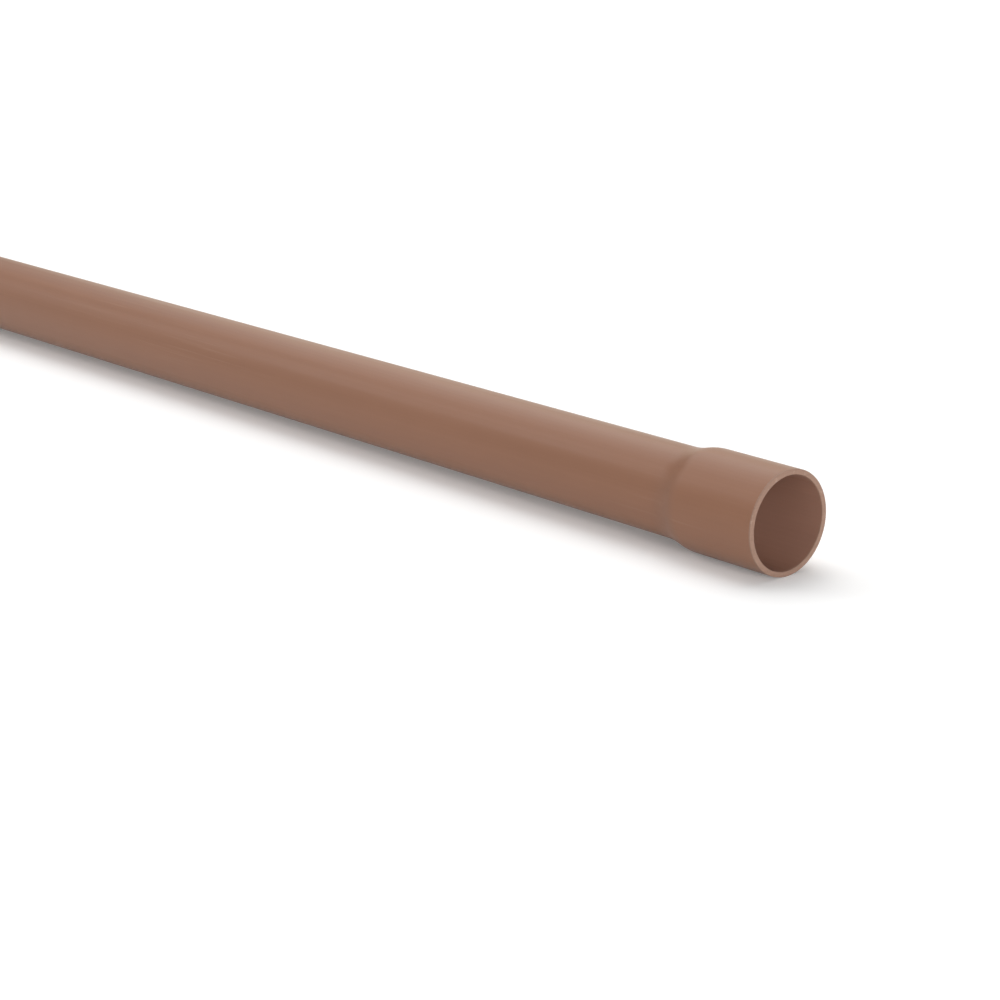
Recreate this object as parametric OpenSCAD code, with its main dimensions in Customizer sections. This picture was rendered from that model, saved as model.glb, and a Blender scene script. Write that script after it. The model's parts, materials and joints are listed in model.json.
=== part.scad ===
// PVC water pipe: one length of extruded tube with a solvent-weld socket formed on one end.
// Millimetres, +Z up. The pipe lies along X. The origin is on its axis, at the socket's mouth;
// the socket opens towards +X and the plain end lies towards -X.

/* [Tube] */
// Overall length, from the socket's mouth to the plain end
stock_length = 3000; // [1000:100:6000]
// Outside diameter of the tube, which is the size it is sold by
tube_od = 25; // [20:1:63]
// Wall thickness of the tube
tube_wall = 1.7; // [1.5:0.1:4]

/* [Socket] */
// Length of the socket's parallel part, which a plain end is pushed into
socket_depth = 26.5; // [18:0.5:70]
// Wall thickness of the socket, thinner than the tube's because it is stretched over a mandrel
socket_wall = 1.5; // [1.2:0.1:4]
// Play of a plain end in the socket, measured on the diameter
socket_play = 0.15; // [0.1:0.05:0.6]

/* [Flare] */
// Slope of the cone between the socket and the tube, in degrees
flare_angle = 14.5; // [8:0.5:30]
// Outside radius of the rounded shoulder, where the socket turns into the cone
shoulder_radius = 15; // [6:0.5:40]
// Outside radius of the hollow root, where the cone turns into the tube
root_radius = 26; // [6:1:60]

/* [Ends] */
// Radius of the rounded edges round the socket's mouth
mouth_edge = 0.3; // [0.1:0.05:0.5]
// Bevel round the outside of the plain end, along the tube and across its wall
end_bevel = 0.5; // [0.2:0.1:1.2]

/* [Hidden] */
// Sides of the turned shape where it is shown as a mesh
$fn = 96;
// Straight steps in each arc of the flare, and in each rounded edge of the mouth
flare_steps = 10;
edge_steps = 5;
// Least share of the flare's rise that stays a straight cone between its two arcs
cone_share = 0.05;

tube_r = tube_od / 2;
bore_r = tube_r - tube_wall;
socket_bore_r = tube_r + socket_play / 2;
socket_r = socket_bore_r + socket_wall;

// Points on an arc round a centre, both ends included; angles are measured from the radial direction
function arc(centre, radius, from, to, steps) =
    [for (i = [0:steps])
        let (angle = from + (to - from) * i / steps)
        centre + radius * [cos(angle), sin(angle)]];

function reversed(points) = [for (i = [len(points) - 1:-1:0]) points[i]];

// One face of the flare, as [radius, height] points from the socket to the tube: a round shoulder,
// a cone and a hollow root. The arcs shrink together where the rise is too small to hold them.
function flare(from_r, to_r, shoulder, root) =
    let (rise = from_r - to_r,
         arc_rise = (shoulder + root) * (1 - cos(flare_angle)),
         fit = min(1, (1 - cone_share) * rise / arc_rise),
         cone_length = (rise - fit * arc_rise) / tan(flare_angle),
         end = socket_depth + cone_length + fit * (shoulder + root) * sin(flare_angle))
    concat(
        arc([from_r - fit * shoulder, -socket_depth], fit * shoulder, 0, -flare_angle, flare_steps),
        arc([to_r + fit * root, -end], fit * root, 180 - flare_angle, 180, flare_steps));

// The wall cut along the axis, as [radius, height] points: out over the mouth's edge, down the
// outside, round the plain end and back up the bore
function wall_outline() =
    concat(
        arc([socket_r - mouth_edge, -mouth_edge], mouth_edge, 90, 0, edge_steps),
        flare(socket_r, tube_r, shoulder_radius, root_radius),
        [[tube_r, end_bevel - stock_length],
         [tube_r - end_bevel, -stock_length],
         [bore_r, -stock_length]],
        reversed(flare(socket_bore_r, bore_r, shoulder_radius - socket_wall, root_radius + tube_wall)),
        arc([socket_bore_r + mouth_edge, -mouth_edge], mouth_edge, 180, 90, edge_steps));

// The whole pipe: tube, flare and socket are one wall
module pipe() {
    color("#977361")
        rotate([0, 90, 0])
            rotate_extrude()
                polygon(wall_outline());
}

pipe();
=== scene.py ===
import json
import math

import bpy
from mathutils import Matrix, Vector


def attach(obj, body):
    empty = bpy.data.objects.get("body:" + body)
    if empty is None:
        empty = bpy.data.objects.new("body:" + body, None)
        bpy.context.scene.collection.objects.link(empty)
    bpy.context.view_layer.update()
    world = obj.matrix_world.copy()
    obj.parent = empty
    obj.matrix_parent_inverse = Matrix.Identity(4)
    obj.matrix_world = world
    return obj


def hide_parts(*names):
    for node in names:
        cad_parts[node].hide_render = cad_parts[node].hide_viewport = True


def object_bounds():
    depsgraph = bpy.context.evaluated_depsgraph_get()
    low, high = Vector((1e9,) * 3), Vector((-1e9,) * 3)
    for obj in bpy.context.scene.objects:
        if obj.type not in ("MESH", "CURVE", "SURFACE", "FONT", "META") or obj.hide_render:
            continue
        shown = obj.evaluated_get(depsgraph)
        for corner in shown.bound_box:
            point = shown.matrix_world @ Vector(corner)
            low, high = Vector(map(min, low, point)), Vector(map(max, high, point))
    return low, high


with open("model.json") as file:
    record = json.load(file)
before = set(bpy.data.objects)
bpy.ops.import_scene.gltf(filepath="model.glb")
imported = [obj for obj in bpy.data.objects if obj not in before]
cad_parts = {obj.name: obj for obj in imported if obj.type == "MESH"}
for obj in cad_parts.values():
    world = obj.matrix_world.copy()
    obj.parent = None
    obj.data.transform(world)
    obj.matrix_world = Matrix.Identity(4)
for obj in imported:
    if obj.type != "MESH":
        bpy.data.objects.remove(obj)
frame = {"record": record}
solid_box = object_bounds()

# ---------------------------------------------------------------------------------------------
# Camera. A long lens looks down on the socket from its open side, so that the mouth, the flare
# and the first stretch of the tube are in view and the rest of the bar runs out of it.
camera_turn = 49.1
camera_height = 16.1
camera_distance = 0.638
camera_lens = 91.1
camera_sensor = 36.0
nearest_drawn = 0.02
farthest_drawn = 100.0
# The point looked at lies beside the socket, a little above the pipe's axis.
looked_at = Vector((-0.0489, -0.0540, 0.0057))


def bearing(turn, height):
    """Unit vector, from angles in degrees: turn runs from the -Y side towards +X, height upwards."""
    turn = math.radians(turn)
    height = math.radians(height)
    return Vector((
        math.sin(turn) * math.cos(height),
        -math.cos(turn) * math.cos(height),
        math.sin(height),
    ))


away = bearing(camera_turn, camera_height)
camera_data = bpy.data.cameras.new("camera")
camera_data.lens = camera_lens
camera_data.sensor_width = camera_sensor
camera_data.clip_start = nearest_drawn
camera_data.clip_end = farthest_drawn
camera = bpy.data.objects.new("camera", camera_data)
camera.location = looked_at + camera_distance * away
camera.rotation_mode = "QUATERNION"
camera.rotation_quaternion = (-away).to_track_quat("-Z", "Y")
bpy.context.scene.collection.objects.link(camera)
bpy.context.scene.camera = camera
bpy.context.scene.view_settings.view_transform = "Standard"


# ---------------------------------------------------------------------------------------------
# Floor and room. A level, matt white studio floor in a dim, even room. The pipe's shadow falls on
# the floor; the glow only lifts what is seen of it, directly or in the plastic's gloss.
floor_reach = 60.0
floor_level = solid_box[0].z
floor_paint = (0.90, 0.90, 0.90, 1.0)
floor_glow = 0.14
room_colour = (1.0, 1.0, 1.0, 1.0)
room_light = 0.20


def node_of(tree, kind, **settings):
    """A new node of a material or the room, with its settings made."""
    made = tree.nodes.new(kind)
    for name, value in settings.items():
        setattr(made, name, value)
    return made


def reckon(tree, operation, *terms):
    """One Math node; each term is a number or the output of another node."""
    sum_of = node_of(tree, "ShaderNodeMath", operation=operation)
    for place, term in enumerate(terms):
        if isinstance(term, (int, float)):
            sum_of.inputs[place].default_value = term
        else:
            tree.links.new(term, sum_of.inputs[place])
    return sum_of.outputs[0]


floor_mesh = bpy.data.meshes.new("floor")
floor_mesh.from_pydata(
    [
        (-floor_reach, -floor_reach, floor_level),
        (floor_reach, -floor_reach, floor_level),
        (floor_reach, floor_reach, floor_level),
        (-floor_reach, floor_reach, floor_level),
    ],
    [],
    [(0, 1, 2, 3)],
)
floor = bpy.data.objects.new("floor", floor_mesh)
bpy.context.scene.collection.objects.link(floor)

floor_finish = bpy.data.materials.new("studio floor")
floor_finish.use_nodes = True
tree = floor_finish.node_tree
tree.nodes.clear()
paint = node_of(tree, "ShaderNodeBsdfDiffuse")
paint.inputs["Color"].default_value = floor_paint
path = node_of(tree, "ShaderNodeLightPath")
seen = reckon(tree, "MAXIMUM", path.outputs["Is Camera Ray"], path.outputs["Is Glossy Ray"])
seen = reckon(tree, "MAXIMUM", seen, path.outputs["Is Transmission Ray"])
glow = node_of(tree, "ShaderNodeEmission")
tree.links.new(reckon(tree, "MULTIPLY", seen, floor_glow), glow.inputs["Strength"])
painted_and_glowing = node_of(tree, "ShaderNodeAddShader")
tree.links.new(paint.outputs[0], painted_and_glowing.inputs[0])
tree.links.new(glow.outputs[0], painted_and_glowing.inputs[1])
floor_out = node_of(tree, "ShaderNodeOutputMaterial")
tree.links.new(painted_and_glowing.outputs[0], floor_out.inputs["Surface"])
floor_mesh.materials.append(floor_finish)

room = bpy.data.worlds.new("studio room")
bpy.context.scene.world = room
room.use_nodes = True
tree = room.node_tree
tree.nodes.clear()
walls = node_of(tree, "ShaderNodeBackground")
walls.inputs["Color"].default_value = room_colour
walls.inputs["Strength"].default_value = room_light
room_out = node_of(tree, "ShaderNodeOutputWorld")
tree.links.new(walls.outputs[0], room_out.inputs["Surface"])


# ---------------------------------------------------------------------------------------------
# Lamps. All are far, soft panels, so they light the whole three metres alike. The key stands low
# beside the camera and shines into the socket; the others hang behind the bar and off its far end.
# The two rims are a little warm, which keeps the sheen along the top of the bar from looking grey.
white_light = (1.0, 1.0, 1.0)
warm_light = (1.0, 0.92, 0.76)


def soft_panel(name, turn, height, width, strength, light=white_light):
    """A far panel, seen from the pipe at this bearing and this many degrees across."""
    panel = bpy.data.lights.new(name, "SUN")
    panel.angle = math.radians(width)
    panel.energy = strength
    panel.color = light
    lamp = bpy.data.objects.new(name, panel)
    lamp.rotation_mode = "QUATERNION"
    lamp.rotation_quaternion = bearing(turn, height).to_track_quat("Z", "Y")
    bpy.context.scene.collection.objects.link(lamp)


soft_panel("key beside the camera", turn=70, height=10, width=30, strength=2.80)
soft_panel("overhead", turn=-115, height=80, width=40, strength=0.42)
soft_panel("overhead behind the bar", turn=-120, height=60, width=60, strength=1.74)
soft_panel("high rim behind the bar", turn=-121, height=32, width=20, strength=0.09, light=warm_light)
soft_panel("low rim behind the bar", turn=-140, height=12, width=40, strength=0.38, light=warm_light)
soft_panel("low fill at the far end", turn=-60, height=10, width=40, strength=0.24)
soft_panel("low strip at the far end, in front", turn=-60, height=33, width=16, strength=0.28)
soft_panel("high strip at the far end, in front", turn=-72, height=41, width=10, strength=0.11)


# ---------------------------------------------------------------------------------------------
# The pipe: one bar of brown rigid PVC, extruded through a ring die, sawn to length and bevelled
# at its plain end. The other end was heated and pushed over a mandrel, which stretched it into
# the socket and the flare behind it. Tube, flare and socket are one wall.
ports = {mount["name"]: mount["dims"] for mount in frame["record"]["mounts"]}
millimetre = 0.001
bar_length = solid_box[1].x - solid_box[0].x
tube_radius = ports["spigot"]["r_mm"] * millimetre
bore_radius = ports["waterway"]["r_mm"] * millimetre
tube_wall = tube_radius - bore_radius
socket_bore_radius = ports["socket"]["r_mm"] * millimetre
socket_radius = solid_box[1].z
socket_wall = socket_radius - socket_bore_radius
mouth_edge = 0.3 * millimetre
socket_depth = ports["socket"]["length_mm"] * millimetre + mouth_edge
flare_angle = 14.5
shoulder_radius = 15 * millimetre
root_radius = 26 * millimetre
end_bevel = 0.5 * millimetre
# The saw and the bevelling tool leave edges that are broken by this much.
broken_edge = 0.12 * millimetre

# How finely the wall is divided: round the axis, round each curve, and along the straight runs.
sides_round = 160
shoulder_steps = 12
root_steps = 16
mouth_steps = 6
broken_steps = 4
tube_pitch = 40 * millimetre
socket_pitch = 2.5 * millimetre
face_pitch = 1.0 * millimetre
# A straight run has its first and last ring this close to the curves that it joins.
beside_edge = 0.2 * millimetre
beside_flare = 1.0 * millimetre


def arc(centre, radius, start, stop, steps):
    """Points (x, radius) round a centre, both ends included; degrees from the outward direction."""
    points = []
    for step in range(steps + 1):
        angle = math.radians(start + (stop - start) * step / steps)
        points.append((centre[0] + radius * math.sin(angle), centre[1] + radius * math.cos(angle)))
    return points


def between(start, stop, share):
    """The point that lies this share of the way from one point to another."""
    return tuple(a + (b - a) * share for a, b in zip(start, stop))


def straight(start, stop, pitch, near_start, near_stop):
    """Points between two ends, both left out, with a ring close beside each to hold the shading."""
    length = math.dist(start, stop)
    count = max(1, round((length - near_start - near_stop) / pitch))
    first = near_start / length
    last = 1 - near_stop / length
    return [between(start, stop, first + (last - first) * i / count) for i in range(count + 1)]


def flare(from_radius, to_radius, shoulder, root):
    """One face of the flare, from the socket to the tube: round shoulder, cone and hollow root."""
    slope = math.radians(flare_angle)
    cone = (from_radius - to_radius - (shoulder + root) * (1 - math.cos(slope))) / math.tan(slope)
    end = -socket_depth - cone - (shoulder + root) * math.sin(slope)
    return (
        arc((-socket_depth, from_radius - shoulder), shoulder, 0, -flare_angle, shoulder_steps)
        + arc((end, to_radius + root), root, 180 - flare_angle, 180, root_steps)
    )


def broken(before, corner, after):
    """A corner eased into a small curve that leaves both straight runs smoothly."""
    start = between(corner, before, broken_edge / math.dist(corner, before))
    stop = between(corner, after, broken_edge / math.dist(corner, after))
    curve = []
    for step in range(broken_steps + 1):
        share = step / broken_steps
        curve.append(between(between(start, corner, share), between(corner, stop, share), share))
    return curve


# The wall cut along the axis: out over the mouth's edge, down the outside, round the plain end
# and back up the bore. Each run carries the finish that its skin bears and its place on the map.
OUTSIDE, BORE, CUT = 0, 1, 2
outside_flare = flare(socket_radius, tube_radius, shoulder_radius, root_radius)
bore_flare = flare(
    socket_bore_radius, bore_radius, shoulder_radius - socket_wall, root_radius + tube_wall
)[::-1]
mouth_outside = arc((-mouth_edge, socket_radius - mouth_edge), mouth_edge, 90, 0, mouth_steps)
mouth_bore = arc((-mouth_edge, socket_bore_radius + mouth_edge), mouth_edge, 180, 90, mouth_steps)
bevel_start = (-bar_length + end_bevel, tube_radius)
bevel_stop = (-bar_length, tube_radius - end_bevel)
bore_end = (-bar_length, bore_radius)
end_outer = broken((0, tube_radius), bevel_start, bevel_stop)
end_face = broken(bevel_start, bevel_stop, bore_end)
end_inner = broken(bevel_stop, bore_end, (0, bore_radius))

mouth_face = straight(mouth_bore[-1], mouth_outside[0], face_pitch, beside_edge, beside_edge)
socket_outside = straight(
    mouth_outside[-1], outside_flare[0], socket_pitch, beside_edge, beside_flare
)
tube_outside = straight(outside_flare[-1], end_outer[0], tube_pitch, beside_flare, beside_edge)
sawn_face = straight(end_face[-1], end_inner[0], face_pitch, beside_edge, beside_edge)
tube_bore = straight(end_inner[-1], bore_flare[0], tube_pitch, beside_edge, beside_flare)
socket_bore = straight(bore_flare[-1], mouth_bore[0], socket_pitch, beside_flare, beside_edge)
runs = [
    (CUT, "mouth", mouth_bore),
    (CUT, "mouth", mouth_face),
    (CUT, "mouth", mouth_outside),
    (OUTSIDE, "socket", socket_outside),
    (OUTSIDE, "socket", outside_flare),
    (OUTSIDE, "tube", tube_outside),
    (CUT, "plain end", end_outer),
    (CUT, "plain end", end_face),
    (CUT, "plain end", sawn_face),
    (CUT, "plain end", end_inner),
    (BORE, "tube bore", tube_bore),
    (BORE, "socket bore", bore_flare),
    (BORE, "socket bore", socket_bore),
]
outline = [point for finish, strip, points in runs for point in points]
finish_of = [finish for finish, strip, points in runs for point in points]
strip_of = [strip for finish, strip, points in runs for point in points]
rings = len(outline)

corners = []
for x, radius in outline:
    for side in range(sides_round):
        turn = 2 * math.pi * side / sides_round
        corners.append((x, radius * math.sin(turn), -radius * math.cos(turn)))

# The map for the baked copy: one strip for each stretch of skin, cut open along the underside and
# laid between these left, right, low and high edges. The socket and the cut ends are small, so
# their strips are drawn much finer than the tube's.
map_strips = {
    "tube": (0.004, 0.996, 0.004, 0.356),
    "tube bore": (0.004, 0.996, 0.364, 0.556),
    "socket": (0.004, 0.476, 0.564, 0.996),
    "socket bore": (0.484, 0.816, 0.564, 0.996),
    "mouth": (0.824, 0.906, 0.564, 0.996),
    "plain end": (0.914, 0.996, 0.564, 0.996),
}
travelled = [0.0]
for ring in range(rings):
    travelled.append(travelled[-1] + math.dist(outline[ring], outline[(ring + 1) % rings]))
strip_ends = {
    strip: (travelled[strip_of.index(strip)], travelled[rings - strip_of[::-1].index(strip)])
    for strip in map_strips
}

faces = []
skins = []
map_places = []
for ring in range(rings):
    left, right, low, high = map_strips[strip_of[ring]]
    begin, end = strip_ends[strip_of[ring]]
    near = left + (right - left) * (travelled[ring] - begin) / (end - begin)
    far = left + (right - left) * (travelled[ring + 1] - begin) / (end - begin)
    this = ring * sides_round
    after = (ring + 1) % rings * sides_round
    for side in range(sides_round):
        beside = (side + 1) % sides_round
        faces.append((this + side, after + side, after + beside, this + beside))
        skins.append(finish_of[ring])
        down = low + (high - low) * side / sides_round
        up = low + (high - low) * (side + 1) / sides_round
        map_places += (near, down, far, down, far, up, near, up)

pipe_mesh = bpy.data.meshes.new("pvc_pipe")
pipe_mesh.from_pydata(corners, [], faces)
pipe_mesh.polygons.foreach_set("material_index", skins)
pipe_mesh.shade_smooth()
pipe_mesh.uv_layers.new(name="OFBake").uv.foreach_set("vector", map_places)
pipe = bpy.data.objects.new("pvc_pipe", pipe_mesh)
bpy.context.scene.collection.objects.link(pipe)


def grain(tree, along, across, up=None, detail=2.0):
    """Noise from 0 to 1 in the pipe's own frame, so many grains to the metre along and across it."""
    place = node_of(tree, "ShaderNodeTexCoord")
    stretch = node_of(tree, "ShaderNodeMapping")
    stretch.inputs["Scale"].default_value = (along, across, up or across)
    tree.links.new(place.outputs["Object"], stretch.inputs["Vector"])
    noise = node_of(tree, "ShaderNodeTexNoise")
    noise.inputs["Scale"].default_value = 1.0
    noise.inputs["Detail"].default_value = detail
    noise.inputs["Roughness"].default_value = 0.55
    tree.links.new(stretch.outputs[0], noise.inputs["Vector"])
    return noise.outputs[0]


def spread(tree, value, low, high, to_low=0.0, to_high=1.0):
    """A value from one range laid out over another, and held at its ends."""
    laid = node_of(tree, "ShaderNodeMapRange")
    laid.inputs["From Min"].default_value = low
    laid.inputs["From Max"].default_value = high
    laid.inputs["To Min"].default_value = to_low
    laid.inputs["To Max"].default_value = to_high
    tree.links.new(value, laid.inputs["Value"])
    return laid.outputs[0]


def blend(tree, share, first, second):
    """Two colours mixed; each is three numbers or the output of another node."""
    mixed = node_of(tree, "ShaderNodeMix", data_type="RGBA")
    tree.links.new(share, mixed.inputs[0])
    for place, colour in ((6, first), (7, second)):
        if isinstance(colour, tuple):
            mixed.inputs[place].default_value = (*colour, 1.0)
        else:
            tree.links.new(colour, mixed.inputs[place])
    return mixed.outputs[2]


# Rigid PVC shines by its own index, but its wax blooms on the skin and takes most of the gloss.
pvc_index = 1.53
gloss_left = 0.14


def pvc(name):
    """A rigid PVC skin, to be finished by its caller."""
    finish = bpy.data.materials.new(name)
    finish.use_nodes = True
    shader = finish.node_tree.nodes["Principled BSDF"]
    shader.inputs["IOR"].default_value = pvc_index
    shader.inputs["Specular IOR Level"].default_value = gloss_left
    return finish.node_tree, shader, finish


def relief(tree, shader, height, depth):
    """Tooling marks that stand this many metres proud of the skin."""
    bump = node_of(tree, "ShaderNodeBump")
    bump.inputs["Strength"].default_value = 1.0
    bump.inputs["Distance"].default_value = depth
    tree.links.new(height, bump.inputs["Height"])
    tree.links.new(bump.outputs[0], shader.inputs["Normal"])


# The outside came smooth from the sizing sleeve: long, faint die lines, a light cloudiness of the
# pigment, and the dull rubs that bars get when they slide over each other.
outside_brown = (0.264, 0.131, 0.081)
outside_pale_brown = (0.286, 0.142, 0.088)
die_line_brown = (0.226, 0.111, 0.068)
rubbed_brown = (0.40, 0.25, 0.18)
outside_relief = 0.012 * millimetre
# Rings left by the mandrel and its cooling jacket fade out between these places on the tube.
belling_stops = -48 * millimetre
belling_starts = -36 * millimetre

tree, shader, extruded = pvc("pvc extruded outside")
die_lines = grain(tree, along=2.2, across=1500, detail=3.0)
broad_bands = grain(tree, along=0.7, across=170, detail=1.0)
cloud = grain(tree, along=16, across=55, detail=3.0)
rubbed_places = spread(tree, grain(tree, along=9, across=45), 0.52, 0.68)
rub_lines = spread(tree, grain(tree, along=22, across=1100), 0.56, 0.66)
rubs = reckon(tree, "MULTIPLY", rubbed_places, rub_lines)
split = node_of(tree, "ShaderNodeSeparateXYZ")
tree.links.new(node_of(tree, "ShaderNodeTexCoord").outputs["Object"], split.inputs[0])
belled = spread(tree, split.outputs["X"], belling_stops, belling_starts)
belling_rings = reckon(tree, "MULTIPLY", grain(tree, along=950, across=14), belled)
half_bands = reckon(tree, "MULTIPLY", broad_bands, 0.5)
half_cloud = reckon(tree, "MULTIPLY", cloud, 0.5)
tone = reckon(tree, "ADD", half_bands, half_cloud)
skin = blend(tree, spread(tree, tone, 0.35, 0.65), outside_brown, outside_pale_brown)
skin = blend(tree, spread(tree, die_lines, 0.3, 0.7, 0.0, 0.12), skin, die_line_brown)
skin = blend(tree, reckon(tree, "MULTIPLY", rubs, 0.22), skin, rubbed_brown)
tree.links.new(skin, shader.inputs["Base Color"])
gloss = spread(tree, cloud, 0.3, 0.7, 0.30, 0.36)
gloss = reckon(tree, "ADD", gloss, spread(tree, die_lines, 0.3, 0.7, 0.0, 0.05))
gloss = reckon(tree, "ADD", gloss, reckon(tree, "MULTIPLY", rubs, 0.14))
tree.links.new(gloss, shader.inputs["Roughness"])
marks = reckon(tree, "ADD", die_lines, reckon(tree, "MULTIPLY", belling_rings, 0.8))
pimples = grain(tree, along=420, across=420)
marks = reckon(tree, "ADD", marks, reckon(tree, "MULTIPLY", pimples, 0.6))
relief(tree, shader, marks, outside_relief)

# The bore ran over the die's cold pin, so it is duller and a little greyer, with plainer lines.
# Its browns are painted paler than the outside's: painted light for the inside of the socket.
bore_brown_with_painted_light = (0.359, 0.195, 0.141)
bore_pale_brown_with_painted_light = (0.381, 0.207, 0.149)
pin_line_brown_with_painted_light = (0.295, 0.158, 0.113)
bore_relief = 0.020 * millimetre

tree, shader, bored = pvc("pvc bore")
pin_lines = grain(tree, along=1.6, across=1200, detail=3.0)
bore_cloud = grain(tree, along=20, across=70, detail=3.0)
# These bore browns are paler than the outside's browns: painted light inside the socket.
skin = blend(tree, spread(tree, bore_cloud, 0.35, 0.65), bore_brown_with_painted_light, bore_pale_brown_with_painted_light)
skin = blend(tree, spread(tree, pin_lines, 0.3, 0.7, 0.0, 0.22), skin, pin_line_brown_with_painted_light)
tree.links.new(skin, shader.inputs["Base Color"])
tree.links.new(spread(tree, pin_lines, 0.3, 0.7, 0.38, 0.50), shader.inputs["Roughness"])
relief(tree, shader, pin_lines, bore_relief)

# Both ends are sawn: paler and matt, with the saw's fine parallel marks and a few whitened chips.
sawn_brown = (0.262, 0.162, 0.120)
sawn_pale_brown = (0.302, 0.188, 0.140)
whitened_chip = (0.46, 0.34, 0.28)
saw_relief = 0.030 * millimetre

tree, shader, sawn = pvc("pvc sawn end")
saw_marks = grain(tree, along=90, across=60, up=2100, detail=2.0)
chips = spread(tree, grain(tree, along=700, across=700, detail=2.0), 0.60, 0.72)
skin = blend(tree, spread(tree, saw_marks, 0.3, 0.7), sawn_brown, sawn_pale_brown)
skin = blend(tree, reckon(tree, "MULTIPLY", chips, 0.30), skin, whitened_chip)
tree.links.new(skin, shader.inputs["Base Color"])
tree.links.new(spread(tree, saw_marks, 0.3, 0.7, 0.52, 0.66), shader.inputs["Roughness"])
relief(tree, shader, saw_marks, saw_relief)

for finish in (extruded, bored, sawn):
    pipe_mesh.materials.append(finish)
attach(pipe, "root")
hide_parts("pipe")
